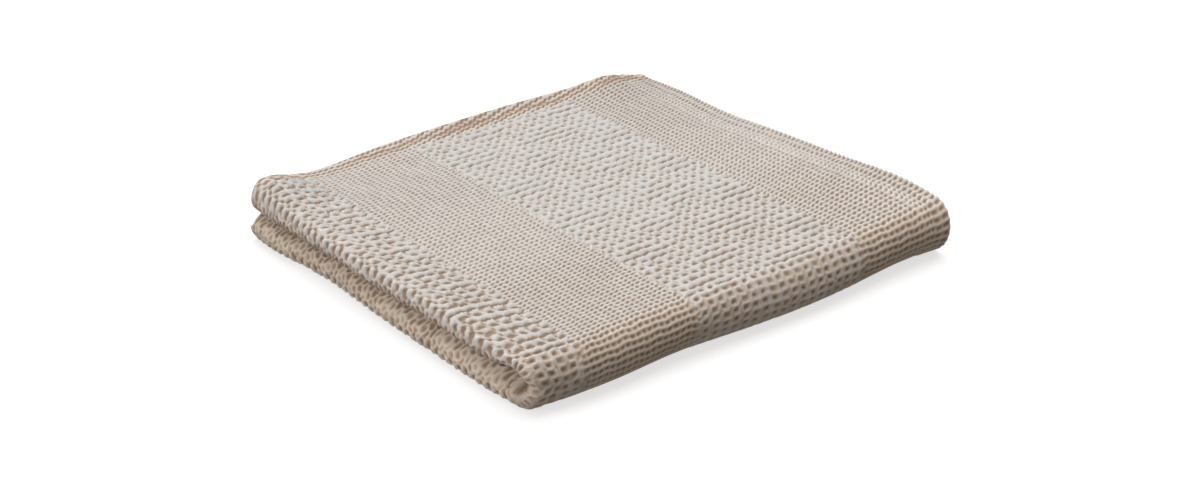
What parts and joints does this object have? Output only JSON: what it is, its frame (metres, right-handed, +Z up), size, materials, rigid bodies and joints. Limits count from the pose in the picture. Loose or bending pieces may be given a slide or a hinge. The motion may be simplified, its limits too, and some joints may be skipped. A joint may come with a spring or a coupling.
{
  "type": "folded knitted throw",
  "caption": "Knitted throw folded into a low square pile, with alternating plain and raised bands, a turned hem and one broad fold round the front.",
  "frame": {"origin": "centre of the pile's bounding box, on the surface it lies on", "axes": "+Z up; +X from the two stacked folds towards the hems; +Y from the broad last fold at the front towards the back rim"},
  "size_m": [0.4386, 0.4, 0.0512],
  "materials": {
    "yarn": "undyed pale beige cotton knit, matt, with a raised cell texture"
  },
  "bodies": {
    "root": {"throw_cloth": "yarn"}
  },
  "joints": []
}
